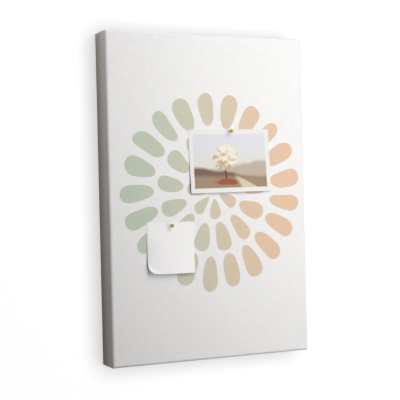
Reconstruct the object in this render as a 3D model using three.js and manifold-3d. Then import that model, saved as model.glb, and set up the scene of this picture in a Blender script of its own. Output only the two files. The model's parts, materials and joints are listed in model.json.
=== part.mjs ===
// A wall pin board: canvas stretched over cork on a wooden frame, with a print and a note held by ball pins.
// Millimetres, +Z up, pinning face towards -Y. The origin is on the wall, behind the middle of the board.
import * as THREE from "three";
import { mergeVertices } from "three/addons/utils/BufferGeometryUtils.js";
import Module from "manifold-3d";

// Board and the layers that it is built up from
const BOARD_WIDTH = 400;
const BOARD_HEIGHT = 600;
const EDGE_RADIUS = 5; // front edges, over the canvas
const CORNER_RADIUS = 2; // four corners of the outline, over the canvas
const CANVAS_THICKNESS = 0.5;
const CORK_THICKNESS = 10;
const BACKING_THICKNESS = 3;
const BAR_DEPTH = 38;
const HEM_WIDTH = 22; // canvas turned over onto the back of the bars
const BARE_STRIP = 18; // width of bar that the hem leaves bare
const WRAP_GAP = 0.2; // slack between the canvas and what it is stretched over
const GLUE_LINE = 0.1; // between faces that are glued together
const MITRE_GAP = 0.2; // between the cut ends of two bars
const SEAT_GAP = 0.1; // under what is screwed or stapled down

// V nails across each mitre: one under the hem and one in the bare strip
const V_NAIL_WING = 8;
const V_NAIL_THICKNESS = 0.8;
const V_NAIL_DEPTH = 12;
const V_NAIL_SINK = 0.3; // how far the nail is driven below the wood
const V_NAIL_CLEARANCE = 0.2;

// Staples through the hem
const STAPLE_CROWN = 10;
const STAPLE_LEG = 8;
const STAPLE_POINT = 1;
const STAPLE_WIRE_WIDTH = 1.2;
const STAPLE_WIRE_THICKNESS = 0.6;
const STAPLE_CLEARANCE = 0.2;
const STAPLES_ON_LONG_SIDE = 8;
const STAPLES_ON_SHORT_SIDE = 5;

// Hangers: a strap screwed to each side bar, with a wire ring in its knuckle
const HANGER_DROP = 90; // from the board's top edge to the ring's pivot
const STRAP_WIDTH = 12;
const STRAP_THICKNESS = 1;
const PIVOT_CLEARANCE = 0.3;
const RING_WIRE = 2;
const RING_SIDE_PLAY = 1.5; // between the knuckle's end and the ring's side
const RING_CORNER_RADIUS = 2;
const RING_ARCH_START = 4; // height of the ring's straight sides
const RING_BUTT_GAP = 0.5; // between the wire's two ends, inside the knuckle
const RING_SCREW_CLEARANCE = 1; // between the ring turned down and the first screw's head
const SCREW_PITCH = 11;
const SCREW_LENGTH = 16;
const SCREW_POINT = 4;
const SCREW_SHANK_DIAMETER = 3.4;
const SCREW_HEAD_DIAMETER = 7;
const SCREW_HEAD_HEIGHT = 2;
const SCREW_HEAD_RIM = 0.7;
const SCREW_CLEARANCE = 0.3;
const RECESS_LENGTH = 3.6;
const RECESS_WIDTH = 0.9;
const RECESS_DEPTH = 1.2;

// Wall pads on the bare strip of the top and bottom bars
const PAD_DIAMETER = 14;
const PAD_THICKNESS = 5.6;
const PAD_INSET = 60; // from the board's left and right edges

// Pins: a ball head on a tapered neck, with a needle pressed into it
const PIN_BALL_DIAMETER = 7;
const PIN_REACH = 9; // from the collar's seat to the ball's centre
const PIN_BALL_SWEEP = 150; // degrees of the ball's outline, from its front to where the neck begins
const PIN_NECK_DIAMETER = 2;
const PIN_COLLAR_DIAMETER = 3.2;
const PIN_COLLAR_THICKNESS = 0.8;
const NEEDLE_DIAMETER = 1;
const NEEDLE_LENGTH = 9; // below the collar
const NEEDLE_POINT = 2.5;
const NEEDLE_ROOT = 6; // pressed into the head
const NEEDLE_FIT = 0.1;
const NEEDLE_CLEARANCE = 0.3;
const COLLAR_GAP = 0.3; // between the collar and the paper

// Papers, each hanging from its pin
const PAPER_THICKNESS = 0.3;
const PAPER_GAP = 0.3; // between the canvas and the paper at its pin
const PRINT_WIDTH = 166;
const PRINT_HEIGHT = 117;
const PRINT_PIN_X = 40.5;
const PRINT_PIN_Z = 121;
const PRINT_PIN_DROP = 3.5; // from the paper's top edge to the pin
const PRINT_TILT = 0.8; // degrees, counter-clockwise from the front
const PRINT_LIFT = 6; // middle of the bottom edge off the board
const PRINT_BOW = -2; // how much further off the board the bottom corners are than the middle
const NOTE_WIDTH = 92;
const NOTE_HEIGHT = 93.5;
const NOTE_PIN_X = -83.7;
const NOTE_PIN_Z = -50.7;
const NOTE_PIN_DROP = 6.8;
const NOTE_TILT = -0.9;
const NOTE_LIFT = 8;
const NOTE_BOW = -3.5;
const NOTE_CURL_REACH = 17; // from the curled corner back to where the curl starts
const NOTE_CURL_RADIUS = 12;
const NOTE_CURL_ANGLE = 52; // degrees below level, the way the curl runs towards the corner

// How finely round and bent shapes are cut into facets
const EDGE_STEPS = 3;
const CORNER_STEPS = 4;
const ROUND_SIDES = 16;
const WIRE_SIDES = 8;
const RING_STEPS = 30;
const BALL_STEPS = 7;
const PRINT_GRID = { columns: 6, rows: 8, crowding: 1 };
const NOTE_GRID = { columns: 12, rows: 12, crowding: 1.7 }; // closer together towards the curl
const WELD = 1e-4;

// Depths from the wall, front to back along Y
const barBack = -(PAD_THICKNESS + GLUE_LINE);
const barFront = barBack - BAR_DEPTH;
const backingBack = barFront - GLUE_LINE;
const backingFront = backingBack - BACKING_THICKNESS;
const corkBack = backingFront - GLUE_LINE;
const corkFront = corkBack - CORK_THICKNESS;
const canvasFront = corkFront - WRAP_GAP - CANVAS_THICKNESS;
const hemBack = barBack + WRAP_GAP + CANVAS_THICKNESS;

// Outline of the core: everything that the canvas is stretched over
const skin = CANVAS_THICKNESS + WRAP_GAP;
const coreWidth = BOARD_WIDTH - 2 * skin;
const coreHeight = BOARD_HEIGHT - 2 * skin;
const barFace = HEM_WIDTH + BARE_STRIP - skin;
const bareMiddle = HEM_WIDTH + BARE_STRIP / 2; // from the board's edge to the middle of the bare strip

// Hanger places that follow from its sizes
const ringHalfWidth = STRAP_WIDTH / 2 + RING_SIDE_PLAY + RING_WIRE / 2;
const ringReach = RING_ARCH_START + ringHalfWidth + RING_WIRE / 2;
const screwDrops = [0, 1].map(
  (i) => ringReach + RING_SCREW_CLEARANCE + SCREW_HEAD_DIAMETER / 2 + i * SCREW_PITCH,
);
const hangerX = BOARD_WIDTH / 2 - bareMiddle;
const hangerZ = BOARD_HEIGHT / 2 - HANGER_DROP;
const strapBack = SEAT_GAP + STRAP_THICKNESS; // from the bar, towards the wall
const pivotHeight = strapBack + PIVOT_CLEARANCE + RING_WIRE / 2;

// Where the collar sits, in front of the canvas
const collarSeat = -(PAPER_GAP + PAPER_THICKNESS + COLLAR_GAP);

const finish = (color, roughness, metalness = 0) =>
  new THREE.MeshStandardMaterial({ color, roughness, metalness });
const canvasCloth = finish(0xf1efeb, 0.9);
const corkGrain = finish(0xb98a5a, 0.95);
const hardboard = finish(0x7a5a3e, 0.7);
const pine = finish(0xd9b98a, 0.75);
const zincPlate = finish(0xb9bcc0, 0.35, 0.9);
const staplesSteel = finish(0xc6c8ca, 0.3, 0.9);
const blackRubber = finish(0x2a2a2b, 0.85);
const polishedBrass = finish(0xc9b03c, 0.2, 1);
const needleSteel = finish(0xd2d4d6, 0.2, 1);
const photoPaper = finish(0xf3f1ee, 0.4);
const notePaper = finish(0xfafafa, 0.8);

const wasm = await Module();
wasm.setup();

function solidOf(geometry) {
  const bare = geometry.clone();
  bare.deleteAttribute("normal");
  bare.deleteAttribute("uv");
  const welded = mergeVertices(bare, WELD);
  return new wasm.Manifold(
    new wasm.Mesh({
      numProp: 3,
      vertProperties: new Float32Array(welded.attributes.position.array),
      triVerts: new Uint32Array(welded.index.array),
    }),
  );
}

function geometryOf(solid) {
  const mesh = solid.getMesh();
  const geometry = new THREE.BufferGeometry();
  geometry.setAttribute("position", new THREE.BufferAttribute(mesh.vertProperties, mesh.numProp));
  geometry.setIndex(new THREE.BufferAttribute(mesh.triVerts, 1));
  geometry.computeVertexNormals();
  return geometry;
}

function cut(geometry, tools) {
  const body = solidOf(geometry);
  return geometryOf(tools.reduce((rest, tool) => rest.subtract(solidOf(tool)), body));
}

function piece(name, geometry, material) {
  const mesh = new THREE.Mesh(geometry, material);
  mesh.name = name;
  return mesh;
}

// A box between two corners
function block(low, high) {
  const size = high.map((value, i) => value - low[i]);
  const middle = high.map((value, i) => (value + low[i]) / 2);
  return new THREE.BoxGeometry(...size).translate(...middle);
}

// A round rod along Y
function rod(radius, front, back) {
  const geometry = new THREE.CylinderGeometry(radius, radius, back - front, ROUND_SIDES);
  return geometry.translate(0, (front + back) / 2, 0);
}

// An outline drawn in X and Z, made thick along Y
function slab(outline, front, back) {
  const options = { depth: back - front, curveSegments: CORNER_STEPS, bevelEnabled: false };
  return new THREE.ExtrudeGeometry(outline, options).rotateX(Math.PI / 2).translate(0, back, 0);
}

function roundedRectangle(width, height, radius) {
  const x = width / 2;
  const z = height / 2;
  const outline = new THREE.Shape();
  outline.moveTo(x, radius - z);
  outline.absarc(x - radius, z - radius, radius, 0, Math.PI / 2);
  outline.absarc(radius - x, z - radius, radius, Math.PI / 2, Math.PI);
  outline.absarc(radius - x, radius - z, radius, Math.PI, 1.5 * Math.PI);
  outline.absarc(x - radius, radius - z, radius, 1.5 * Math.PI, 2 * Math.PI);
  return outline;
}

const polygon = (points) => new THREE.Shape(points.map(([x, z]) => new THREE.Vector2(x, z)));

// A long bar along Z, with its two front edges rounded
function roundedFront(width, edge, front, back, length) {
  const x = width / 2;
  const outline = new THREE.Shape();
  outline.moveTo(x, back);
  outline.lineTo(-x, back);
  outline.absarc(edge - x, front + edge, edge, Math.PI, 1.5 * Math.PI);
  outline.absarc(x - edge, front + edge, edge, 1.5 * Math.PI, 2 * Math.PI);
  const options = { depth: length, curveSegments: EDGE_STEPS, bevelEnabled: false };
  return new THREE.ExtrudeGeometry(outline, options).translate(0, 0, -length / 2);
}

// The board's outline moved in by an inset, with its front edges rounded and its back edges left square
function boardSlab(inset, front, back) {
  const width = BOARD_WIDTH - 2 * inset;
  const height = BOARD_HEIGHT - 2 * inset;
  const edge = EDGE_RADIUS - inset;
  const square = solidOf(slab(roundedRectangle(width, height, CORNER_RADIUS - inset), front, back));
  const upright = solidOf(roundedFront(width, edge, front, back, 2 * height));
  const level = solidOf(roundedFront(height, edge, front, back, 2 * width).rotateY(Math.PI / 2));
  return geometryOf(square.intersect(upright).intersect(level));
}

const coreOutline = () => roundedRectangle(coreWidth, coreHeight, CORNER_RADIUS - skin);

// Canvas: one skin over the front and the sides, turned in as a hem on the back
function canvasWrap(holes) {
  const inside = boardSlab(CANVAS_THICKNESS, canvasFront + CANVAS_THICKNESS, hemBack - CANVAS_THICKNESS);
  const openX = BOARD_WIDTH / 2 - HEM_WIDTH;
  const openZ = BOARD_HEIGHT / 2 - HEM_WIDTH;
  const opening = block([-openX, barFront, -openZ], [openX, hemBack + HEM_WIDTH, openZ]);
  return cut(boardSlab(0, canvasFront, hemBack), [inside, opening, ...holes]);
}

// Stretcher bars: each runs along one side of the core and is mitred at both ends
function stretcherBar(across, along, place) {
  const cutBack = MITRE_GAP / Math.SQRT2;
  const long = along / 2 - cutBack;
  const short = along / 2 - barFace - cutBack;
  const corners = [
    [-long, across / 2],
    [long, across / 2],
    [short, across / 2 - barFace],
    [-short, across / 2 - barFace],
  ];
  const bar = slab(polygon(corners.map(place)), barFront, barBack);
  const rounded = slab(coreOutline(), barFront, barBack);
  return geometryOf(solidOf(bar).intersect(solidOf(rounded)));
}

const stretcherBars = () => ({
  top_bar: stretcherBar(coreHeight, coreWidth, ([x, z]) => [x, z]),
  bottom_bar: stretcherBar(coreHeight, coreWidth, ([x, z]) => [x, -z]),
  left_bar: stretcherBar(coreWidth, coreHeight, ([z, x]) => [-x, z]),
  right_bar: stretcherBar(coreWidth, coreHeight, ([z, x]) => [x, z]),
});

// V nails: an L-shaped strip whose apex lies on the mitre and whose wings run into the two bars
const vNailInsets = {
  outer: (HEM_WIDTH - V_NAIL_WING) / 2,
  inner: HEM_WIDTH + (BARE_STRIP - V_NAIL_WING) / 2,
};
const boardCorners = {
  top_left: [-1, 1],
  top_right: [1, 1],
  bottom_left: [-1, -1],
  bottom_right: [1, -1],
};

function vNail([signX, signZ], inset, grow) {
  const half = V_NAIL_THICKNESS / 2 + grow;
  const wing = -(V_NAIL_WING + grow);
  const outline = [
    [half, half],
    [wing, half],
    [wing, -half],
    [-half, -half],
    [-half, wing],
    [half, wing],
  ];
  const placed = outline.map(([x, z]) => [
    signX * (BOARD_WIDTH / 2 - inset + x),
    signZ * (BOARD_HEIGHT / 2 - inset + z),
  ]);
  const top = barBack - V_NAIL_SINK;
  return slab(polygon(placed), top - V_NAIL_DEPTH - grow, grow > 0 ? barBack + grow : top);
}

const vNails = (grow = 0) =>
  Object.entries(boardCorners).flatMap(([corner, signs]) =>
    Object.entries(vNailInsets).map(([where, inset]) => ({
      name: `v_nail_${corner}_${where}`,
      geometry: vNail(signs, inset, grow),
    })),
  );

// Staples: a flat crown on the hem and two pointed legs through it into the bar
function stapleOutline() {
  const outside = STAPLE_CROWN / 2;
  const inside = outside - STAPLE_WIRE_THICKNESS;
  const top = SEAT_GAP + STAPLE_WIRE_THICKNESS;
  const points = [
    [-outside, top],
    [-outside, STAPLE_POINT - STAPLE_LEG],
    [-inside, -STAPLE_LEG],
    [-inside, SEAT_GAP],
    [inside, SEAT_GAP],
    [inside, -STAPLE_LEG],
    [outside, STAPLE_POINT - STAPLE_LEG],
    [outside, top],
  ];
  return polygon(points);
}

function staple() {
  const options = { depth: STAPLE_WIRE_WIDTH, bevelEnabled: false };
  return new THREE.ExtrudeGeometry(stapleOutline(), options).translate(0, 0, -STAPLE_WIRE_WIDTH / 2);
}

function stapleLegHole(side) {
  const middle = side * (STAPLE_CROWN / 2 - STAPLE_WIRE_THICKNESS / 2);
  const x = STAPLE_WIRE_THICKNESS / 2 + STAPLE_CLEARANCE;
  const z = STAPLE_WIRE_WIDTH / 2 + STAPLE_CLEARANCE;
  return block([middle - x, -STAPLE_LEG - STAPLE_CLEARANCE, -z], [middle + x, SEAT_GAP, z]);
}

const spread = (length, count) =>
  Array.from({ length: count }, (_, i) => ((i + 0.5) / count - 0.5) * length);

function staplePlaces() {
  const x = BOARD_WIDTH / 2 - HEM_WIDTH / 2;
  const z = BOARD_HEIGHT / 2 - HEM_WIDTH / 2;
  const across = spread(BOARD_WIDTH, STAPLES_ON_SHORT_SIDE);
  const upright = spread(BOARD_HEIGHT, STAPLES_ON_LONG_SIDE);
  return [
    ...across.map((at, i) => ({ name: `staple_top_${i + 1}`, place: [at, hemBack, z], turn: 0 })),
    ...across.map((at, i) => ({ name: `staple_bottom_${i + 1}`, place: [at, hemBack, -z], turn: 0 })),
    ...upright.map((at, i) => ({ name: `staple_left_${i + 1}`, place: [-x, hemBack, at], turn: 90 })),
    ...upright.map((at, i) => ({ name: `staple_right_${i + 1}`, place: [x, hemBack, at], turn: 90 })),
  ];
}

const stapleHoles = () =>
  staplePlaces().flatMap(({ place, turn }) =>
    [-1, 1].map((side) => {
      const hole = stapleLegHole(side).rotateY(THREE.MathUtils.degToRad(turn));
      return hole.translate(...place);
    }),
  );

// Hanger strap: a plate with a round lower end, two screw holes and a rolled knuckle at its top
function hangerStrap() {
  const half = STRAP_WIDTH / 2;
  const outline = new THREE.Shape();
  outline.moveTo(half, 0);
  outline.lineTo(-half, 0);
  outline.absarc(0, -screwDrops[1], half, Math.PI, 2 * Math.PI);
  const plate = solidOf(slab(outline, SEAT_GAP, strapBack));
  const boreRadius = RING_WIRE / 2 + PIVOT_CLEARANCE;
  const acrossX = (radius, length) =>
    new THREE.CylinderGeometry(radius, radius, length, ROUND_SIDES)
      .rotateZ(Math.PI / 2)
      .translate(0, pivotHeight, 0);
  const knuckle = solidOf(acrossX(boreRadius + STRAP_THICKNESS, STRAP_WIDTH));
  const holes = screwDrops.map((drop) =>
    rod(SCREW_SHANK_DIAMETER / 2 + SCREW_CLEARANCE, 0, 2 * strapBack).translate(0, 0, -drop),
  );
  return cut(geometryOf(plate.add(knuckle)), [acrossX(boreRadius, 2 * STRAP_WIDTH), ...holes]);
}

// Hanger ring: wire bent to a D, with its two ends meeting inside the knuckle
function hangerRing() {
  const a = ringHalfWidth;
  const r = RING_CORNER_RADIUS;
  const butt = RING_BUTT_GAP / 2;
  const centreLine = new THREE.Path();
  centreLine.moveTo(butt, 0);
  centreLine.lineTo(a - r, 0);
  centreLine.absarc(a - r, r, r, -Math.PI / 2, 0);
  centreLine.lineTo(a, RING_ARCH_START);
  centreLine.absarc(0, RING_ARCH_START, a, 0, Math.PI);
  centreLine.lineTo(-a, r);
  centreLine.absarc(r - a, r, r, Math.PI, 1.5 * Math.PI);
  centreLine.lineTo(-butt, 0);
  const along = centreLine.getSpacedPoints(RING_STEPS).map(({ x, y }) => new THREE.Vector3(x, 0, y));
  const section = polygon(
    Array.from({ length: WIRE_SIDES }, (_, i) => {
      const angle = (2 * Math.PI * i) / WIRE_SIDES;
      return [(RING_WIRE / 2) * Math.cos(angle), (RING_WIRE / 2) * Math.sin(angle)];
    }),
  );
  return new THREE.ExtrudeGeometry(section, {
    steps: RING_STEPS,
    extrudePath: new THREE.CatmullRomCurve3(along),
  });
}

const turned = (profile) =>
  new THREE.LatheGeometry(
    profile.map(([radius, y]) => new THREE.Vector2(radius, y)),
    ROUND_SIDES,
  );

// Hanger screw: a pan head with a cross recess, seated on the strap, and a pointed shank
function hangerScrew() {
  const shank = SCREW_SHANK_DIAMETER / 2;
  const head = SCREW_HEAD_DIAMETER / 2;
  const body = turned([
    [0, -SCREW_LENGTH],
    [shank, SCREW_POINT - SCREW_LENGTH],
    [shank, 0],
    [head, 0],
    [head, SCREW_HEAD_RIM],
    [RECESS_LENGTH / 2, SCREW_HEAD_HEIGHT],
    [0, SCREW_HEAD_HEIGHT],
  ]);
  const long = RECESS_LENGTH / 2;
  const thin = RECESS_WIDTH / 2;
  const low = SCREW_HEAD_HEIGHT - RECESS_DEPTH;
  const high = SCREW_HEAD_HEIGHT + RECESS_DEPTH;
  return cut(body, [
    block([-long, low, -thin], [long, high, thin]),
    block([-thin, low, -long], [thin, high, long]),
  ]);
}

const screwSeat = strapBack + SEAT_GAP;

const screwHoles = () =>
  [-1, 1].flatMap((side) =>
    screwDrops.map((drop) =>
      rod(SCREW_SHANK_DIAMETER / 2 + SCREW_CLEARANCE, -SCREW_LENGTH, STRAP_THICKNESS).translate(
        side * hangerX,
        barBack + screwSeat,
        hangerZ - drop,
      ),
    ),
  );

function hanger(hand, side) {
  const group = new THREE.Group();
  group.position.set(side * hangerX, barBack, hangerZ);
  group.add(piece(`hanger_strap_${hand}`, hangerStrap(), zincPlate));
  const ring = piece(`hanger_ring_${hand}`, hangerRing(), zincPlate);
  ring.position.y = pivotHeight;
  group.add(ring);
  screwDrops.forEach((drop, i) => {
    const screw = piece(`hanger_screw_${hand}_${i + 1}`, hangerScrew(), zincPlate);
    screw.position.set(0, screwSeat, -drop);
    group.add(screw);
  });
  return group;
}

// Wall pads, stuck to the bare strip
function wallPad(corner, [signX, signZ]) {
  const pad = piece(`wall_pad_${corner}`, rod(PAD_DIAMETER / 2, -PAD_THICKNESS, 0), blackRubber);
  pad.position.set(signX * (BOARD_WIDTH / 2 - PAD_INSET), 0, signZ * (BOARD_HEIGHT / 2 - bareMiddle));
  return pad;
}

// Pin head: ball, tapered neck and collar turned in one, with a blind bore for the needle
function pinHead() {
  const ball = PIN_BALL_DIAMETER / 2;
  const bore = NEEDLE_DIAMETER / 2 + NEEDLE_FIT;
  const collar = PIN_COLLAR_DIAMETER / 2;
  const sweep = THREE.MathUtils.degToRad(PIN_BALL_SWEEP);
  const ballOutline = Array.from({ length: BALL_STEPS + 1 }, (_, i) => {
    const angle = (sweep * i) / BALL_STEPS;
    return [ball * Math.sin(angle), collarSeat - PIN_REACH - ball * Math.cos(angle)];
  });
  return turned([
    ...ballOutline,
    [PIN_NECK_DIAMETER / 2, collarSeat - 2 * PIN_COLLAR_THICKNESS],
    [collar, collarSeat - PIN_COLLAR_THICKNESS],
    [collar, collarSeat],
    [bore, collarSeat],
    [bore, collarSeat - NEEDLE_ROOT - NEEDLE_FIT],
    [0, collarSeat - NEEDLE_ROOT - NEEDLE_FIT],
  ]);
}

function pinNeedle() {
  const radius = NEEDLE_DIAMETER / 2;
  return turned([
    [0, collarSeat - NEEDLE_ROOT],
    [radius, collarSeat - NEEDLE_ROOT],
    [radius, collarSeat + NEEDLE_LENGTH - NEEDLE_POINT],
    [0, collarSeat + NEEDLE_LENGTH],
  ]);
}

// The hole that a needle leaves: clear round its shank, from in front of the paper to past its point
const needleHole = () =>
  rod(
    NEEDLE_DIAMETER / 2 + NEEDLE_CLEARANCE,
    collarSeat - COLLAR_GAP,
    collarSeat + NEEDLE_LENGTH + NEEDLE_CLEARANCE,
  );

// A bent sheet of paper: bend(x, z) gives where a point of the flat sheet's back goes
function sheet(width, height, { columns, rows, crowding }, bend) {
  const nudge = 0.01;
  const positions = [];
  const index = [];
  const layer = (columns + 1) * (rows + 1);
  const flat = (i, j) => [
    width * ((i / columns) ** crowding - 0.5),
    height * ((j / rows) ** crowding - 0.5),
  ];
  for (const offset of [0, PAPER_THICKNESS]) {
    for (let j = 0; j <= rows; j += 1) {
      for (let i = 0; i <= columns; i += 1) {
        const [x, z] = flat(i, j);
        const alongX = bend(x + nudge, z).sub(bend(x - nudge, z));
        const alongZ = bend(x, z + nudge).sub(bend(x, z - nudge));
        const out = alongX.cross(alongZ).normalize();
        positions.push(...bend(x, z).addScaledVector(out, offset));
      }
    }
  }
  const back = (i, j) => j * (columns + 1) + i;
  const front = (i, j) => layer + back(i, j);
  const quad = (a, b, c, d) => index.push(a, b, c, a, c, d);
  for (let j = 0; j < rows; j += 1) {
    for (let i = 0; i < columns; i += 1) {
      quad(front(i, j), front(i + 1, j), front(i + 1, j + 1), front(i, j + 1));
      quad(back(i, j), back(i, j + 1), back(i + 1, j + 1), back(i + 1, j));
    }
  }
  for (let i = 0; i < columns; i += 1) {
    quad(back(i, 0), back(i + 1, 0), front(i + 1, 0), front(i, 0));
    quad(back(i + 1, rows), back(i, rows), front(i, rows), front(i + 1, rows));
  }
  for (let j = 0; j < rows; j += 1) {
    quad(back(0, j + 1), back(0, j), front(0, j), front(0, j + 1));
    quad(back(columns, j), back(columns, j + 1), front(columns, j + 1), front(columns, j));
  }
  const geometry = new THREE.BufferGeometry();
  geometry.setAttribute("position", new THREE.Float32BufferAttribute(positions, 3));
  geometry.setIndex(index);
  return geometry;
}

// How far a hanging sheet stands off the board, from nothing at its pin
function standOff(x, z, { width, height, pinDrop, lift, bow }) {
  const below = Math.max(0, (height / 2 - pinDrop - z) / (height - pinDrop));
  return (lift + bow * ((2 * x) / width) ** 2) * below ** 2;
}

function printBend(x, z) {
  const size = {
    width: PRINT_WIDTH,
    height: PRINT_HEIGHT,
    pinDrop: PRINT_PIN_DROP,
    lift: PRINT_LIFT,
    bow: PRINT_BOW,
  };
  return new THREE.Vector3(x, -standOff(x, z, size), z);
}

// The note's lower left corner rolls forward over a cylinder that lies across the corner
function noteBend(x, z) {
  const size = {
    width: NOTE_WIDTH,
    height: NOTE_HEIGHT,
    pinDrop: NOTE_PIN_DROP,
    lift: NOTE_LIFT,
    bow: NOTE_BOW,
  };
  const level = Math.cos(THREE.MathUtils.degToRad(NOTE_CURL_ANGLE));
  const down = Math.sin(THREE.MathUtils.degToRad(NOTE_CURL_ANGLE));
  const curlStart = (NOTE_WIDTH / 2) * level + (NOTE_HEIGHT / 2) * down - NOTE_CURL_REACH;
  const past = Math.max(0, -x * level - z * down - curlStart);
  const angle = past / NOTE_CURL_RADIUS;
  const drawnIn = past - NOTE_CURL_RADIUS * Math.sin(angle);
  const raised = NOTE_CURL_RADIUS * (1 - Math.cos(angle));
  return new THREE.Vector3(
    x + drawnIn * level,
    -standOff(x, z, size) - raised,
    z + drawnIn * down,
  );
}

// A paper hung so that its middle is straight below its pin once it is tilted
function hungPaper(name, geometry, height, pinDrop, tilt, material) {
  const turn = THREE.MathUtils.degToRad(tilt);
  const below = height / 2 - pinDrop;
  const hung = geometry.translate(-below * Math.tan(turn), -PAPER_GAP, -below);
  const paper = piece(name, cut(hung, [needleHole()]), material);
  paper.rotation.y = -turn;
  return paper;
}

function pinned(name, x, z, paper) {
  const group = new THREE.Group();
  group.position.set(x, canvasFront, z);
  group.add(piece(`${name}_pin_head`, pinHead(), polishedBrass));
  group.add(piece(`${name}_pin_needle`, pinNeedle(), needleSteel));
  group.add(paper);
  return group;
}

const print = hungPaper(
  "photo_print",
  sheet(PRINT_WIDTH, PRINT_HEIGHT, PRINT_GRID, printBend),
  PRINT_HEIGHT,
  PRINT_PIN_DROP,
  PRINT_TILT,
  photoPaper,
);
const note = hungPaper(
  "note_sheet",
  sheet(NOTE_WIDTH, NOTE_HEIGHT, NOTE_GRID, noteBend),
  NOTE_HEIGHT,
  NOTE_PIN_DROP,
  NOTE_TILT,
  notePaper,
);

const pinPlaces = [
  [PRINT_PIN_X, PRINT_PIN_Z],
  [NOTE_PIN_X, NOTE_PIN_Z],
];
const pinHoles = () => pinPlaces.map(([x, z]) => needleHole().translate(x, canvasFront, z));

const board = new THREE.Group();
board.add(piece("canvas_wrap", canvasWrap([...stapleHoles(), ...pinHoles()]), canvasCloth));
board.add(piece("cork_panel", cut(boardSlab(skin, corkFront, corkBack), pinHoles()), corkGrain));
board.add(
  piece("backing_board", cut(slab(coreOutline(), backingFront, backingBack), pinHoles()), hardboard),
);
const vNailSlots = vNails(V_NAIL_CLEARANCE).map(({ geometry }) => geometry);
const barHoles = [...stapleHoles(), ...vNailSlots, ...screwHoles()];
for (const [name, geometry] of Object.entries(stretcherBars())) {
  board.add(piece(name, cut(geometry, barHoles), pine));
}
for (const { name, geometry } of vNails()) {
  board.add(piece(name, geometry, zincPlate));
}
for (const { name, place, turn } of staplePlaces()) {
  const mesh = piece(name, staple(), staplesSteel);
  mesh.position.set(...place);
  mesh.rotation.y = THREE.MathUtils.degToRad(turn);
  board.add(mesh);
}
board.add(hanger("left", -1));
board.add(hanger("right", 1));
for (const [corner, signs] of Object.entries(boardCorners)) {
  board.add(wallPad(corner, signs));
}
board.add(pinned("photo", PRINT_PIN_X, PRINT_PIN_Z, print));
board.add(pinned("note", NOTE_PIN_X, NOTE_PIN_Z, note));

export default board;
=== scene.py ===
# A wall pin board: printed canvas stretched over cork on a pine frame, with a print and a note on ball pins.
# Metres, +Z up and the pinning face towards -Y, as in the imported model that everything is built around.
import json
import math

import bmesh
import bpy
from mathutils import Matrix, Vector, noise


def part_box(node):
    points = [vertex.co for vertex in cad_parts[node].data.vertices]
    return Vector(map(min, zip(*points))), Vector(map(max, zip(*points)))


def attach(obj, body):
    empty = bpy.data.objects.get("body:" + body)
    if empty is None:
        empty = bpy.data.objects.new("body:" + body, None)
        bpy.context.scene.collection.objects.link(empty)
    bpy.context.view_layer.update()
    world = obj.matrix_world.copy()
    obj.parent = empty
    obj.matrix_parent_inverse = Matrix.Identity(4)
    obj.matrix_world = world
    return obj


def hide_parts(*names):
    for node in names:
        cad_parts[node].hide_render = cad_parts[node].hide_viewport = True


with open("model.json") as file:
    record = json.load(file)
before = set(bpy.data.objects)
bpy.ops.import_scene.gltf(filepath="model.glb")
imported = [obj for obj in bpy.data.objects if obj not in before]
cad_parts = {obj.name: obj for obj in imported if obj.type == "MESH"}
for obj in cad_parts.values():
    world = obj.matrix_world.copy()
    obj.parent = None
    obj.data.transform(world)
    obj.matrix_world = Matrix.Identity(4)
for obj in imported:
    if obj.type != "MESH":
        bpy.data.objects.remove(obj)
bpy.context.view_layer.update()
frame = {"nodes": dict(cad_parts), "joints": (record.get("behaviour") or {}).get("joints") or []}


# Stretcher bars: four lengths of planed pine, mitred at the corners, with the inner edge rounded over.
# The canvas covers their outer half, so bare wood shows only from behind, its grain running along each bar.
# Narrow slots across each mitre take the steel V nails that hold the joint shut.
BAR_INNER_ROUND = 0.002
BAR_ROUND_STEPS = 5
BAR_CORNER_ROUND = 0.0013
BAR_CORNER_STOPS = (0.00013, 0.00039)
MITRE_CUT_BACK = 0.00014
GRAIN_SHIFT = 0.37
V_NAIL_WING = 0.008
V_NAIL_THICKNESS = 0.0008
V_NAIL_DEPTH = 0.012
V_NAIL_SINK = 0.0003
V_NAIL_CLEARANCE = 0.0002
V_NAIL_TURNS = {"top_right": 0, "bottom_right": 90, "bottom_left": 180, "top_left": 270}


def srgb(red, green, blue):
    def linear(level):
        share = level / 255
        return share / 12.92 if share <= 0.04045 else ((share + 0.055) / 1.055) ** 2.4

    return (linear(red), linear(green), linear(blue), 1.0)


def add_node(tree, kind, sockets=None, **settings):
    """Adds a node, links or sets its sockets, and gives back its outputs."""
    made = tree.nodes.new(kind)
    for name, value in settings.items():
        setattr(made, name, value)
    for socket, value in (sockets or {}).items():
        if isinstance(value, bpy.types.NodeSocket):
            tree.links.new(value, made.inputs[socket])
        else:
            made.inputs[socket].default_value = value
    return made.outputs


def calc(tree, operation, *values):
    return add_node(tree, "ShaderNodeMath", dict(enumerate(values)), operation=operation)[0]


def ranged(tree, value, low, high, start=0.0, end=1.0, **settings):
    sockets = {0: value, 1: start, 2: end, 3: low, 4: high}
    return add_node(tree, "ShaderNodeMapRange", sockets, **settings)[0]


def faded(tree, value, start, end):
    return ranged(tree, value, 0.0, 1.0, start, end, interpolation_type="SMOOTHSTEP")


def mixed(tree, share, first, second, blend="MIX"):
    sockets = {0: share, 6: first, 7: second}
    return add_node(tree, "ShaderNodeMix", sockets, data_type="RGBA", blend_type=blend)[2]


def layered(tree, base, *layers):
    """Lays colours over a base, each where its mask says, at full strength or at the one given."""
    for colour, mask, *strength in layers:
        share = calc(tree, "MULTIPLY", mask, *strength) if strength else mask
        base = mixed(tree, share, base, colour)
    return base


def scaled(tree, vector, scale):
    return add_node(tree, "ShaderNodeMapping", {"Vector": vector, "Scale": scale})[0]


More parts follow.
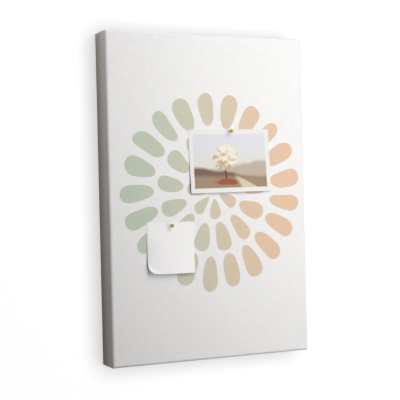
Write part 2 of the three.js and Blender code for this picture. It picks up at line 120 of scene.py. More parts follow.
def noise_value(tree, vector, scale, detail=2.0, distortion=0.0):
    sockets = {"Vector": vector, "Scale": scale, "Detail": detail, "Distortion": distortion}
    return add_node(tree, "ShaderNodeTexNoise", sockets)[0]


def uv_place(tree, label):
    return add_node(tree, "ShaderNodeUVMap", uv_map=label)["UV"]


def new_material(name, constants=None):
    material = bpy.data.materials.new(name)
    material.use_nodes = True
    shader = material.node_tree.nodes["Principled BSDF"]
    for socket, value in (constants or {}).items():
        shader.inputs[socket].default_value = value
    return material, material.node_tree, shader


def finish(tree, shader, colour, height, strength, relief):
    bump = add_node(tree, "ShaderNodeBump", {"Height": height, "Strength": strength, "Distance": relief})[0]
    tree.links.new(colour, shader.inputs["Base Color"])
    tree.links.new(bump, shader.inputs["Normal"])


def node_group(name, kind, inputs, outputs):
    group = bpy.data.node_groups.new(name, kind)
    for way, sockets in (("INPUT", inputs), ("OUTPUT", outputs)):
        for label, socket in sockets.items():
            group.interface.new_socket(label, in_out=way, socket_type=f"NodeSocket{socket}")
    return group, group.nodes.new("NodeGroupInput").outputs, group.nodes.new("NodeGroupOutput").inputs


def sweep(degrees, steps):
    """The angles of an arc in even steps, with both its ends."""
    return [math.radians(degrees) * i / steps for i in range(steps + 1)]


def skin(bm, rows, closed=True):
    """Joins each row of points to the next with faces, where points that fall together count once."""
    for lower, upper in zip(rows, rows[1:]):
        count = len(lower)
        for i in range(count if closed else count - 1):
            j = (i + 1) % count
            bm.faces.new(list(dict.fromkeys((lower[i], lower[j], upper[j], upper[i]))))


def lay_out(bm, label, flat):
    """Writes down where each point lies on the flat sheet or along the grain."""
    uv = bm.loops.layers.uv.new(label)
    for face in bm.faces:
        for loop in face.loops:
            loop[uv].uv = flat[loop.vert]


def smooth_mesh(name, bm, materials, sharp_degrees=40, closed=True):
    if closed:
        bmesh.ops.recalc_face_normals(bm, faces=bm.faces)
    mesh = bpy.data.meshes.new(name)
    bm.to_mesh(mesh)
    bm.free()
    for material in materials:
        mesh.materials.append(material)
    mesh.shade_smooth()
    mesh.set_sharp_from_angle(angle=math.radians(sharp_degrees))
    return mesh


def new_piece(name, data):
    made = bpy.data.objects.new(name, data)
    bpy.context.scene.collection.objects.link(made)
    return made


def modified(piece, kind, inputs=None, **settings):
    """Runs one modifier on a piece and keeps what it makes as the piece's own mesh."""
    modifier = piece.modifiers.new(kind.lower(), kind)
    for name, value in settings.items():
        setattr(modifier, name, value)
    for label, value in (inputs or {}).items():
        modifier[modifier.node_group.interface.items_tree[label].identifier] = value
    mesh = bpy.data.meshes.new_from_object(piece.evaluated_get(bpy.context.evaluated_depsgraph_get()))
    piece.modifiers.clear()
    piece.data = mesh
    return piece


def cut_away(piece, cutter):
    modified(piece, "BOOLEAN", object=cutter, solver="MANIFOLD")
    bpy.data.objects.remove(cutter)


def end_in_copies(tree, given, result, shape):
    """Ends a tree with a copy of the shape at each place, turned about Y, made real and given its finish."""
    turn = add_node(tree, "GeometryNodeInputNamedAttribute", {"Name": "turn"}, data_type="FLOAT")["Attribute"]
    facing = add_node(tree, "FunctionNodeAxisAngleToRotation", {"Axis": (0, 1, 0), "Angle": turn})[0]
    sockets = {"Points": given["Places"], "Instance": shape, "Rotation": facing}
    spread = add_node(tree, "GeometryNodeInstanceOnPoints", sockets)[0]
    real = add_node(tree, "GeometryNodeRealizeInstances", {"Geometry": spread})[0]
    finished = add_node(tree, "GeometryNodeSetMaterial", {"Geometry": real, "Material": given["Finish"]})[0]
    tree.links.new(finished, result["Copies"])


def at_places(name, places, tree, inputs):
    """One piece that a tree makes from points, each with its place and its turn about Y."""
    mesh = bpy.data.meshes.new(name)
    mesh.from_pydata([place for place, _ in places], [], [])
    turns = mesh.attributes.new("turn", "FLOAT", "POINT")
    turns.data.foreach_set("value", [turn for _, turn in places])
    return modified(new_piece(name, mesh), "NODES", inputs, node_group=tree)


copier_inputs = {"Places": "Geometry", "Shape": "Object", "Finish": "Material"}
made_copies = {"Copies": "Geometry"}
copier, given, result = node_group("copies_at_places", "GeometryNodeTree", copier_inputs, made_copies)
shape = add_node(copier, "GeometryNodeObjectInfo", {"Object": given["Shape"]})["Geometry"]
end_in_copies(copier, given, result, shape)


def copies(name, shape, places, material):
    piece = at_places(name, places, copier, {"Shape": shape, "Finish": material})
    bpy.data.objects.remove(shape)
    return piece


def v_nails_in_mitres(name, material, grow=0.0, rise=0.0):
    """The eight V nails or, grown and raised, the shapes of the slots that they lie in."""
    half = V_NAIL_THICKNESS / 2 + grow
    wing = -(V_NAIL_WING + grow)
    outline = [(half, half), (wing, half), (wing, -half), (-half, -half), (-half, wing), (half, wing)]
    bm = bmesh.new()
    ends = [[bm.verts.new((x, y, z)) for x, z in outline] for y in (rise, -(V_NAIL_DEPTH + grow))]
    skin(bm, ends)
    for end in ends:
        bm.faces.new(end)
    places = []
    for corner, degrees in V_NAIL_TURNS.items():
        for where in ("outer", "inner"):
            low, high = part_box(f"v_nail_{corner}_{where}")
            x = high.x - V_NAIL_THICKNESS / 2 if "right" in corner else low.x + V_NAIL_THICKNESS / 2
            z = high.z - V_NAIL_THICKNESS / 2 if "top" in corner else low.z + V_NAIL_THICKNESS / 2
            places.append(((x, high.y, z), math.radians(degrees)))
    return copies(name, new_piece("v_nail", smooth_mesh("v_nail", bm, [])), places, material)


PINE_PALE = srgb(226, 196, 150)
PINE_RING = srgb(199, 155, 103)
PINE_KNOT = srgb(128, 82, 48)

pine, tree, shader = new_material("planed_pine")
grain = uv_place(tree, "grain")
year_rings = {
    "Vector": scaled(tree, grain, (0.05, 1, 1)),
    "Scale": 70,
    "Distortion": 5,
    "Detail": 2,
    "Detail Scale": 0.3,
}
bands = add_node(tree, "ShaderNodeTexWave", year_rings, bands_direction="Y")["Fac"]
pores = noise_value(tree, scaled(tree, grain, (40, 1500, 1)), 1.0, detail=3)
spots = add_node(tree, "ShaderNodeTexVoronoi", {"Vector": scaled(tree, grain, (6, 22, 1)), "Scale": 1})
wood = layered(
    tree,
    PINE_PALE,
    (PINE_RING, calc(tree, "POWER", bands, 2.5), 0.75),
    (PINE_RING, faded(tree, pores, 0.45, 0.75), 0.25),
    (PINE_KNOT, faded(tree, spots["Distance"], 0.13, 0.06), 0.85),
)
tree.links.new(ranged(tree, pores, 0.5, 0.75), shader.inputs["Roughness"])
finish(tree, shader, wood, calc(tree, "ADD", pores, bands), strength=0.25, relief=0.0003)


def bar_section(inner, front, back):
    """The outline across a bar as (inset, depth), with two stops where its outer corners round off."""
    first, second = BAR_CORNER_STOPS
    points = [(0, front), (0, back), (first, back), (second, back)]
    for angle in sweep(90, BAR_ROUND_STEPS):
        inset = inner - BAR_INNER_ROUND * (1 - math.sin(angle))
        points.append((inset, back - BAR_INNER_ROUND * (1 - math.cos(angle))))
    return points + [(inner, front), (second, front), (first, front)]


def bar_reach(inset, half_length):
    tip = BAR_CORNER_ROUND
    mitre = half_length - inset - MITRE_CUT_BACK
    if inset >= tip:
        return mitre
    return min(mitre, half_length - tip + math.sqrt(tip**2 - (tip - inset) ** 2))


def bar_mesh(name, along, outward, half_length, grain_shift):
    low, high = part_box(name)
    near, far = sorted((abs(low.dot(outward)), abs(high.dot(outward))))
    section = bar_section(far - near, low.y, high.y)
    bm = bmesh.new()
    on_grain = {}
    ends = []
    for end in (-1, 1):
        row = []
        run = 0.0
        for i, (inset, y) in enumerate(section):
            run += math.dist(section[max(i - 1, 0)], (inset, y))
            reach = end * bar_reach(inset, half_length)
            row.append(bm.verts.new(outward * (far - inset) + along * reach + Vector((0, y, 0))))
            on_grain[row[-1]] = (reach + grain_shift, run + grain_shift)
        ends.append(row)
    skin(bm, ends)
    for row in ends:
        bm.faces.new((row[0], row[1], row[2], row[-1]))
        bm.faces.new((row[-1], row[2], row[3], row[-2]))
        bm.faces.new(row[3:-1])
    lay_out(bm, "grain", on_grain)
    return smooth_mesh(name + "_wood", bm, [pine])


core_half_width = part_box("right_bar")[1].x
core_half_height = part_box("top_bar")[1].z
rightward = Vector((1, 0, 0))
upward = Vector((0, 0, 1))
bar_directions = {
    "top_bar": (rightward, upward, core_half_width),
    "bottom_bar": (rightward, -upward, core_half_width),
    "left_bar": (upward, -rightward, core_half_height),
    "right_bar": (upward, rightward, core_half_height),
}
for number, (name, (along, outward, half_length)) in enumerate(bar_directions.items()):
    bar = new_piece(name + "_wood", bar_mesh(name, along, outward, half_length, GRAIN_SHIFT * number))
    cut_away(bar, v_nails_in_mitres("v_nail_slots", pine, V_NAIL_CLEARANCE, V_NAIL_SINK + V_NAIL_CLEARANCE))
    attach(bar, "board")
    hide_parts(name)


# V nails: bent strips of zinc-plated steel, driven across each mitre until they lie just below the wood.
# One of each pair lies under the canvas hem, and the other shows in the bare strip.
ZINC_PALE = srgb(214, 217, 220)
ZINC_DULL = srgb(178, 183, 188)


def shader_group(name, numbers, results):
    """A group that takes a place, called Vector, and numbers, and gives numbers."""
    inputs = {"Vector": "Vector", **dict.fromkeys(numbers, "Float")}
    return node_group(name, "ShaderNodeTree", inputs, dict.fromkeys(results, "Float"))


def grouped(tree, group, **sockets):
    return add_node(tree, "ShaderNodeGroup", sockets, node_tree=group)


def object_place(tree):
    return add_node(tree, "ShaderNodeTexCoord")["Object"]


scuffs, given, result = shader_group("metal_scuffs", ["Scale", "Smooth", "Scuffed"], ["Roughness", "Dulling"])
cloudy = noise_value(scuffs, given["Vector"], given["Scale"], detail=4, distortion=0.8)
scuffs.links.new(ranged(scuffs, cloudy, given["Smooth"], given["Scuffed"], 0.3, 0.7), result["Roughness"])
scuffs.links.new(faded(scuffs, cloudy, 0.4, 0.75), result["Dulling"])


def metal(name, bright, dull, scale, smooth, scuffed):
    material, tree, shader = new_material(name, {"Metallic": 1.0})
    wear = grouped(tree, scuffs, Vector=object_place(tree), Scale=scale, Smooth=smooth, Scuffed=scuffed)
    tree.links.new(mixed(tree, wear["Dulling"], bright, dull), shader.inputs["Base Color"])
    tree.links.new(wear["Roughness"], shader.inputs["Roughness"])
    return material


def nodes_named(start):
    return [name for name in frame["nodes"] if name.startswith(start)]


zinc = metal("zinc_plate", ZINC_PALE, ZINC_DULL, scale=260, smooth=0.28, scuffed=0.5)
v_nails = v_nails_in_mitres("v_nails", zinc)
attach(v_nails, "board")
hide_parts(*nodes_named("v_nail_"))


# Backing: a sheet of brown hardboard, glued to the front of the bars, with the print of the press's wire
# screen on the rough face that shows from behind. The solid's own shape is right, so it only gets its finish.
HARDBOARD_BROWN = srgb(126, 92, 64)
HARDBOARD_DARK = srgb(88, 61, 41)
HARDBOARD_FIBRE = srgb(160, 124, 88)
SCREEN_PITCH = 0.0022

flecks, given, result = shader_group("scattered_flecks", ["Scale", "Share"], ["Mask"])
grains = noise_value(flecks, given["Vector"], given["Scale"], detail=3, distortion=0.4)
edge = calc(flecks, "MULTIPLY_ADD", given["Share"], -0.5, 0.72)
flecks.links.new(faded(flecks, calc(flecks, "SUBTRACT", grains, edge), -0.04, 0.06), result["Mask"])

waves_inputs = dict.fromkeys(("Across", "Along", "Pitch"), "Float")
crossing, given, result = node_group("crossed_waves", "ShaderNodeTree", waves_inputs, {"Height": "Float"})
rate = calc(crossing, "DIVIDE", 2 * math.pi, given["Pitch"])
waves = [calc(crossing, "SINE", calc(crossing, "MULTIPLY", given[i], rate)) for i in ("Across", "Along")]
crossing.links.new(calc(crossing, "MULTIPLY", *waves), result["Height"])


def axes_of(tree, vector):
    return add_node(tree, "ShaderNodeSeparateXYZ", {"Vector": vector})


def refinish(node, material):
    solid = frame["nodes"][node]
    solid.data.materials.clear()
    solid.data.materials.append(material)


hardboard, tree, shader = new_material("pressed_hardboard", {"Roughness": 0.75})
where = object_place(tree)
axes = axes_of(tree, where)
wires = grouped(tree, crossing, Across=axes["X"], Along=axes["Z"], Pitch=SCREEN_PITCH)["Height"]
screen = ranged(tree, wires, 0.0, 1.0)
pressed = layered(
    tree,
    HARDBOARD_BROWN,
    (HARDBOARD_DARK, screen, 0.35),
    (HARDBOARD_FIBRE, grouped(tree, flecks, Vector=where, Scale=420, Share=0.25)["Mask"], 0.4),
    (HARDBOARD_DARK, grouped(tree, flecks, Vector=where, Scale=14, Share=0.5)["Mask"], 0.2),
)
finish(tree, shader, pressed, screen, strength=0.3, relief=0.0002)
refinish("backing_board", hardboard)


# Cork: one soft sheet of pressed granules, glued to the backing, that takes the pins.
# The canvas hides it on every side, so the solid keeps its shape and gets a granular finish.
CORK_TAN = srgb(190, 146, 98)
CORK_PALE = srgb(214, 175, 127)
CORK_BARK = srgb(104, 68, 40)

cork, tree, shader = new_material("pressed_cork", {"Roughness": 0.9})
where = object_place(tree)
granules = add_node(tree, "ShaderNodeTexVoronoi", {"Vector": where, "Scale": 330})
tone = add_node(tree, "ShaderNodeSeparateColor", {0: granules["Color"]})[0]
bark = grouped(tree, flecks, Vector=where, Scale=300, Share=0.3)["Mask"]
cork_colour = layered(tree, CORK_TAN, (CORK_PALE, tone), (CORK_BARK, bark))
finish(tree, shader, cork_colour, granules["Distance"], strength=0.5, relief=0.0006)
refinish("cork_panel", cork)


# Canvas: one piece of primed cotton, pulled over the front and sides and turned in behind as a hem, with its
# surplus folded flat at the corners. The hem is raw cotton; the fade from white to that raw colour across
# each side is painted shade, darker towards the wall.
# It is printed with a burst of wavy petals, whose ink runs from green on the left, through tan, to peach.
CANVAS_THICKNESS = 0.0005
EDGE_ROUND = 0.005
BACK_EDGE_ROUND = 0.001
CORNER_ROUND = 0.002
LEAST_CORNER = 0.0002
FRONT_MARGIN = 0.0005
HEM_WIDTH = 0.022
HEM_WAVE = 0.0009
HEM_WAVE_RATE = 70
HEM_WAVE_START = 3.7
CLOTH_RIPPLE = 0.00014
RIPPLE_RATE = 23
RIPPLE_RATE_DEEP = 60
FRONT_GRID = (40, 60)
CORNER_COLUMNS = 6
EDGE_ROWS = 6
SIDE_ROWS = 8
BACK_EDGE_ROWS = 4
HEM_ROWS = 6
FOLD_FIRST_ROW = 3
FOLD_COLUMNS = 10
FOLD_NEAR = 0.0016
FOLD_REACH = 0.031
FOLD_EMERGENCE = 0.006
FOLD_LIFT = 0.0001
CANVAS_WHITE = srgb(243, 243, 243)
# The hem's raw cotton, also used as painted shade across the sides, darker towards the wall.
COTTON_RAW_AND_SIDE_SHADE = srgb(195, 190, 179)
THREAD_PITCH = 0.0009
SLUB_FINE_RATE = 300
SLUB_LONG_RATE = 70
INK_GREEN = srgb(197, 209, 190)
INK_TAN = srgb(214, 206, 184)
INK_PEACH = srgb(232, 198, 170)
INK_SPAN = (-0.17, 0.175)
PETAL_FULLNESS = 3.2
BURST_CENTRE = (0.005, 0.010, 0)
BURST_WAVER = (0.011, 0.011, 0)
BURST_RINGS = (
    {"Count": 7, "Inner": 0.014, "Outer": 0.052, "Fill": 0.62, "Turn": 0.1},
    {"Count": 13, "Inner": 0.059, "Outer": 0.112, "Fill": 0.66, "Turn": 0.35},
    {"Count": 21, "Inner": 0.119, "Outer": 0.184, "Fill": 0.68, "Turn": 0.0},
)

board_low, board_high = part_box("canvas_wrap")
half_width = board_high.x
half_height = board_high.z
front_arc = EDGE_ROUND * math.pi / 2
side_run = board_high.y - board_low.y - EDGE_ROUND - BACK_EDGE_ROUND
back_arc = BACK_EDGE_ROUND * math.pi / 2
back_turn = front_arc + side_run + back_arc
hem_run = HEM_WIDTH - BACK_EDGE_ROUND
wrap_run = back_turn + hem_run


def vector_calc(tree, operation, *values):
    made = add_node(tree, "ShaderNodeVectorMath", dict(enumerate(values)), operation=operation)
    return made["Value" if operation == "LENGTH" else "Vector"]


petals, given, result = shader_group("ring_of_petals", ["Count", "Inner", "Outer", "Fill", "Turn"], ["Mask"])
axes = axes_of(petals, given["Vector"])
turns = calc(petals, "MULTIPLY_ADD", calc(petals, "ARCTAN2", axes["Y"], axes["X"]), 1 / (2 * math.pi), 1.0)
step = calc(petals, "FRACT", calc(petals, "MULTIPLY_ADD", turns, given["Count"], given["Turn"]))
half_fill = calc(petals, "MULTIPLY", given["Fill"], 0.5)
sideways = calc(petals, "DIVIDE", calc(petals, "SUBTRACT", step, 0.5), half_fill)
radius = vector_calc(petals, "LENGTH", given["Vector"])
lengthways = ranged(petals, radius, -1.0, 1.0, given["Inner"], given["Outer"], clamp=False)
rounded_end = calc(petals, "POWER", calc(petals, "ABSOLUTE", lengthways), PETAL_FULLNESS)
outside = calc(petals, "ADD", calc(petals, "POWER", sideways, 2.0), rounded_end)
petals.links.new(faded(petals, outside, 1.05, 0.95), result["Mask"])

canvas, tree, shader = new_material("printed_canvas", {"Roughness": 0.88, "Specular IOR Level": 0.25})
cloth = uv_place(tree, "cloth")
axes = axes_of(tree, cloth)
weave = grouped(tree, crossing, Across=axes["X"], Along=axes["Y"], Pitch=THREAD_PITCH)["Height"]
warp_slubs = noise_value(tree, scaled(tree, cloth, (SLUB_FINE_RATE, SLUB_LONG_RATE, 1)), 1.0)
weft_slubs = noise_value(tree, scaled(tree, cloth, (SLUB_LONG_RATE, SLUB_FINE_RATE, 1)), 1.0)
slubs = calc(tree, "SUBTRACT", calc(tree, "ADD", warp_slubs, weft_slubs), 1.0)
ink = add_node(tree, "ShaderNodeValToRGB", {0: faded(tree, axes["X"], *INK_SPAN)})["Color"]
ink_stops = ink.node.color_ramp.elements
ink_stops[0].color = INK_GREEN
ink_stops[1].color = INK_PEACH
ink_stops.new(0.5).color = INK_TAN
waver = add_node(tree, "ShaderNodeTexNoise", {"Vector": cloth, "Scale": 16, "Detail": 0})["Color"]
waver = vector_calc(tree, "MULTIPLY", vector_calc(tree, "SUBTRACT", waver, (0.5, 0.5, 0.5)), BURST_WAVER)
wavy = vector_calc(tree, "ADD", vector_calc(tree, "SUBTRACT", cloth, BURST_CENTRE), waver)
printed = 0.0
for ring in BURST_RINGS:
    printed = calc(tree, "MAXIMUM", printed, grouped(tree, petals, Vector=wavy, **ring)["Mask"])
past_edge = [
    calc(tree, "SUBTRACT", calc(tree, "ABSOLUTE", axes[axis]), half - EDGE_ROUND)
    for axis, half in (("X", half_width), ("Y", half_height))
]
# Painted shade: white fades to raw cotton across each side, darker towards the wall; the hem is raw cotton.
raw_hem_and_painted_side_shade = faded(tree, calc(tree, "MAXIMUM", *past_edge), front_arc, front_arc + side_run)
coloured = layered(tree, CANVAS_WHITE, (COTTON_RAW_AND_SIDE_SHADE, raw_hem_and_painted_side_shade), (ink, printed))
shade = ranged(tree, calc(tree, "MULTIPLY_ADD", slubs, 0.5, 0.5), 0.90, 1.07)
coloured = mixed(tree, 1.0, coloured, shade, "MULTIPLY")
finish(tree, shader, coloured, calc(tree, "MULTIPLY_ADD", weave, 0.3, slubs), strength=0.35, relief=0.0004)


def around_edge(run, lift=0.0):
    """Depth and inset of the cloth at a run from the flat front, over the edge and the side onto the back."""
    if run < front_arc:
        angle = run / EDGE_ROUND
        radius = EDGE_ROUND + lift
        return board_low.y + EDGE_ROUND - radius * math.cos(angle), EDGE_ROUND - radius * math.sin(angle)
    run -= front_arc
    if run < side_run:
        return board_low.y + EDGE_ROUND + run, -lift
    run -= side_run
    if run < back_arc:
        angle = run / BACK_EDGE_ROUND
        radius = BACK_EDGE_ROUND + lift
        depth = board_high.y - BACK_EDGE_ROUND + radius * math.sin(angle)
        return depth, BACK_EDGE_ROUND - radius * math.cos(angle)
    return board_high.y + lift, BACK_EDGE_ROUND + run - back_arc


def loop_points(inset, corner):
    """A rounded rectangle as (x, z, outward x, outward z), the same number of points for every inset."""
    x = half_width - inset - corner
    z = half_height - inset - corner
    centres = [Vector((x, z)), Vector((-x, z)), Vector((-x, -z)), Vector((x, -z))]
    points = []
    for number, centre in enumerate(centres):
        for turn in sweep(90, CORNER_COLUMNS):
            angle = turn + math.pi / 2 * number
            out = Vector((math.cos(angle), math.sin(angle)))
            points.append((*(centre + corner * out), *out))
        count = FRONT_GRID[number % 2]
        for i in range(1, count):
            middle = centre.lerp(centres[(number + 1) % 4], i / count)
            points.append((*(middle + corner * out), *out))
    return points


def canvas_runs():
    """How far from the flat front each row of the cloth lies, to the end of the hem."""
    runs = [0.0]
    lengths = (front_arc, side_run, back_arc, hem_run)
    for length, rows in zip(lengths, (EDGE_ROWS, SIDE_ROWS, BACK_EDGE_ROWS, HEM_ROWS)):
        start = runs[-1]
        runs += [start + length * (i / rows) for i in range(1, rows + 1)]
    return runs


def sheet_rows(bm, flat, size, grid, place):
    """Rows of points over a flat sheet, put where place says and noted in flat with where they were."""
    (width, height), (columns, rows) = size, grid
    made = []
    for j in range(rows + 1):
        row = []
        for i in range(columns + 1):
            x = width * (i / columns - 0.5)
            z = height * (j / rows - 0.5)
            row.append(bm.verts.new(place(x, z)))
            flat[row[-1]] = (x, z)
        made.append(row)
    return made


def canvas_mesh():
    bm = bmesh.new()
    on_cloth = {}
    columns, rows = FRONT_GRID
    flat_x = half_width - EDGE_ROUND - FRONT_MARGIN
    flat_z = half_height - EDGE_ROUND - FRONT_MARGIN
    front = sheet_rows(bm, on_cloth, (2 * flat_x, 2 * flat_z), FRONT_GRID, lambda x, z: (x, board_low.y, z))
    skin(bm, front, closed=False)
    rim = []
    for x, z, _, _ in loop_points(half_width - flat_x, 0.0):
        rim.append(front[round((z / flat_z + 1) / 2 * rows)][round((x / flat_x + 1) / 2 * columns)])
    rings = [rim]
    for run in canvas_runs():
        y, inset = around_edge(run)
        on_hem = run > back_turn
        flat_run = run + inset - EDGE_ROUND
        ring = []
        for x, z, out_x, out_z in loop_points(inset, max(CORNER_ROUND - inset, LEAST_CORNER)):
            out = 0.0
            back = 0.0
            if run == wrap_run:
                out = HEM_WAVE * noise.noise(Vector((x * HEM_WAVE_RATE, HEM_WAVE_START, z * HEM_WAVE_RATE)))
            if run > front_arc:
                rippled = Vector((x * RIPPLE_RATE, y * RIPPLE_RATE_DEEP, z * RIPPLE_RATE))
                sway = CLOTH_RIPPLE * noise.noise(rippled)
                out, back = (out, sway) if on_hem else (sway, 0.0)
            ring.append(bm.verts.new((x + out_x * out, y + back, z + out_z * out)))
            on_cloth[ring[-1]] = (x + out_x * flat_run, z + out_z * flat_run)
        rings.append(ring)
    skin(bm, rings[::-1])
    lay_out(bm, "cloth", on_cloth)
    return smooth_mesh("canvas_cover", bm, [canvas], sharp_degrees=60, closed=False)


def smooth_step(value):
    share = min(max(value, 0.0), 1.0)
    return share * share * (3 - 2 * share)


def corner_folds_mesh():
    bm = bmesh.new()
    on_cloth = {}
    for sign_x, sign_z in ((-1, -1), (-1, 1), (1, -1), (1, 1)):
        rows = []
        for run in canvas_runs()[FOLD_FIRST_ROW:]:
            near = max(FOLD_NEAR, run - back_turn + BACK_EDGE_ROUND)
            far = near + (FOLD_REACH - near) * min(1.0, run / back_turn)
            row = []
            for i in range(FOLD_COLUMNS + 1):
                from_near = (far - near) * i / FOLD_COLUMNS
                emerged = smooth_step(from_near / FOLD_EMERGENCE)
                y, inset = around_edge(run, FOLD_LIFT * emerged - CANVAS_THICKNESS * (1 - emerged))
                x = sign_x * (half_width - near - from_near)
                row.append(bm.verts.new((x, y, sign_z * (half_height - inset))))
                on_cloth[row[-1]] = (x, sign_z * (half_height - EDGE_ROUND + run))
            rows.append(row)
        skin(bm, rows[::-1] if sign_x == sign_z else rows, closed=False)
    lay_out(bm, "cloth", on_cloth)
    return smooth_mesh("canvas_corner_folds", bm, [canvas], closed=False)


canvas_cover = new_piece("canvas_cover", canvas_mesh())
modified(canvas_cover, "SOLIDIFY", thickness=CANVAS_THICKNESS, offset=-1)
corner_folds = new_piece("canvas_corner_folds", corner_folds_mesh())
modified(corner_folds, "SOLIDIFY", thickness=CANVAS_THICKNESS, offset=1)
for piece in (canvas_cover, corner_folds):
    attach(piece, "board")
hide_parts("canvas_wrap")


# Staples: galvanised flat wire, shot through the hem into the bars, with their crowns along the edge.
# Each is one bent wire with rounded shoulders, and they stand in an even row on each side.
STAPLE_SIZES = {
    "Crown": 0.010,
    "Leg": 0.0085,
    "Wire Width": 0.0012,
    "Wire Thickness": 0.0006,
    "Shoulder": 0.0007,
}
STAPLE_SHOULDER_STEPS = 4
STAPLE_BRIGHT = srgb(222, 224, 226)
STAPLE_DULL = srgb(170, 174, 178)

staple_steel = metal("galvanised_wire", STAPLE_BRIGHT, STAPLE_DULL, scale=400, smooth=0.25, scuffed=0.45)

stapler_inputs = {"Places": "Geometry", **dict.fromkeys(STAPLE_SIZES, "Float"), "Finish": "Material"}
stapler, given, result = node_group("stapled_hem", "GeometryNodeTree", stapler_inputs, made_copies)
rectangle = "GeometryNodeCurvePrimitiveQuadrilateral"
crown = calc(stapler, "SUBTRACT", given["Crown"], given["Wire Thickness"])
line = add_node(stapler, rectangle, {"Width": given["Leg"], "Height": crown})[0]
line = add_node(stapler, "GeometryNodeSetSplineCyclic", {"Geometry": line, "Cyclic": False})[0]
shoulders = {"Curve": line, "Radius": given["Shoulder"], "Count": STAPLE_SHOULDER_STEPS}
line = add_node(stapler, "GeometryNodeFilletCurve", shoulders, mode="POLY")[0]
section = add_node(stapler, rectangle, {"Width": given["Wire Thickness"], "Height": given["Wire Width"]})[0]
bent = {"Curve": line, "Profile Curve": section, "Fill Caps": True}
wire = add_node(stapler, "GeometryNodeCurveToMesh", bent)[0]
sunk = add_node(stapler, "ShaderNodeCombineXYZ", {"Y": calc(stapler, "MULTIPLY", given["Leg"], -0.5)})[0]
upright = {"Geometry": wire, "Translation": sunk, "Rotation": (math.pi / 2, 0, -math.pi / 2)}
end_in_copies(stapler, given, result, add_node(stapler, "GeometryNodeTransform", upright)[0])

staple_nodes = nodes_named("staple_")
staple_places = []
for name in staple_nodes:
    low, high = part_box(name)
    middle = (low + high) / 2
    crown_middle = (middle.x, high.y - STAPLE_SIZES["Wire Thickness"] / 2, middle.z)
    staple_places.append((crown_middle, math.pi / 2 if high.z - low.z > high.x - low.x else 0.0))
staples = at_places("hem_staples", staple_places, stapler, {**STAPLE_SIZES, "Finish": staple_steel})
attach(staples, "board")
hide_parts(*staple_nodes)


# Hangers: a stamped steel strap on each side bar, its upper end rolled into an eye that holds a bent wire
# ring. Two pan-head screws with cross recesses hold each strap, and the rings go over hooks in the wall.
STRAP_HALF_WIDTH = 0.006
STRAP_TIP_HALF_WIDTH = 0.00012
STRAP_THICKNESS = 0.001
STRAP_EDGE_BEVEL = 0.00018
STRAP_BEVEL_LIMIT = 50
STRAP_END_STEPS = 8
STRAP_ROWS = 22
STRAP_COLUMNS = 6
EYE_RADIUS = 0.0018
EYE_SWEEP = 292
EYE_STEPS = 20
RING_WIRE_RADIUS = 0.001
RING_HALF_WIDTH = 0.0085
RING_FOOT = 0.003
RING_CORNER = 0.002
RING_CORNER_STEPS = 8
RING_ARCH_START = 0.004
RING_ARCH_STEPS = 36
RING_BUTT_GAP = 0.0005
RING_SIDES = 16
SCREW_LENGTH = 0.016
SCREW_POINT = 0.004
SCREW_SHANK_RADIUS = 0.0017
SCREW_HEAD_RADIUS = 0.0035
SCREW_HEAD_FLAT = 0.00105
SCREW_HEAD_HEIGHT = 0.002
SCREW_HEAD_RIM = 0.0005
SCREW_DOME_STEPS = 8
SCREW_FIRST_TURN = 25
SCREW_NEXT_TURN = 37
RECESS_LENGTH = 0.0036
RECESS_WIDTH = 0.0009
RECESS_DEPTH = 0.0012
TURNED_SIDES = 40


def turned_mesh(name, profile, materials, sides=TURNED_SIDES):
    """A closed turned shape round the Y axis from (radius, depth) points that start and end on the axis."""
    bm = bmesh.new()
    angles = sweep(360, sides)[:-1]
    rows = []
    for radius, depth in profile:
        if radius == 0:
            rows.append([bm.verts.new((0, depth, 0))] * sides)
        else:
            rows.append([bm.verts.new((radius * math.cos(a), depth, radius * math.sin(a))) for a in angles])
    skin(bm, rows)
    return smooth_mesh(name, bm, materials, sharp_degrees=35)


def screw_piece():
    dome = []
    for angle in sweep(90, SCREW_DOME_STEPS):
        radius = SCREW_HEAD_FLAT + (SCREW_HEAD_RADIUS - SCREW_HEAD_FLAT) * math.cos(angle)
        dome.append((radius, SCREW_HEAD_RIM + (SCREW_HEAD_HEIGHT - SCREW_HEAD_RIM) * math.sin(angle)))
    profile = [
        (0, -SCREW_LENGTH),
        (SCREW_SHANK_RADIUS, SCREW_POINT - SCREW_LENGTH),
        (SCREW_SHANK_RADIUS, 0),
        (SCREW_HEAD_RADIUS, 0),
        *dome,
        (0, SCREW_HEAD_HEIGHT),
    ]
    screw = new_piece("screw", turned_mesh("screw", profile, [zinc]))
    middle = Vector((0, SCREW_HEAD_HEIGHT, 0))
    for width, length in ((RECESS_LENGTH, RECESS_WIDTH), (RECESS_WIDTH, RECESS_LENGTH)):
        bm = bmesh.new()
        size = Vector((width, 2 * RECESS_DEPTH, length))
        bmesh.ops.create_cube(bm, size=1.0, matrix=Matrix.LocRotScale(middle, None, size))
        cut_away(screw, new_piece("recess", smooth_mesh("recess", bm, [])))
    return screw


def strap_path(pivot, bottom):
    """The strap's middle line as (depth, height, half width), from its lower end up and round its eye."""
    plate = pivot.y - EYE_RADIUS
    end_centre = bottom + STRAP_HALF_WIDTH
    rows = []
    for angle in sweep(90, STRAP_END_STEPS)[:0:-1]:
        width = max(STRAP_HALF_WIDTH * math.cos(angle), STRAP_TIP_HALF_WIDTH)
        rows.append((plate, end_centre - STRAP_HALF_WIDTH * math.sin(angle), width))
    for i in range(STRAP_ROWS):
        rows.append((plate, end_centre + (pivot.z - end_centre) * i / STRAP_ROWS, STRAP_HALF_WIDTH))
    for angle in sweep(EYE_SWEEP, EYE_STEPS):
        depth = pivot.y - EYE_RADIUS * math.cos(angle)
        rows.append((depth, pivot.z + EYE_RADIUS * math.sin(angle), STRAP_HALF_WIDTH))
    return rows


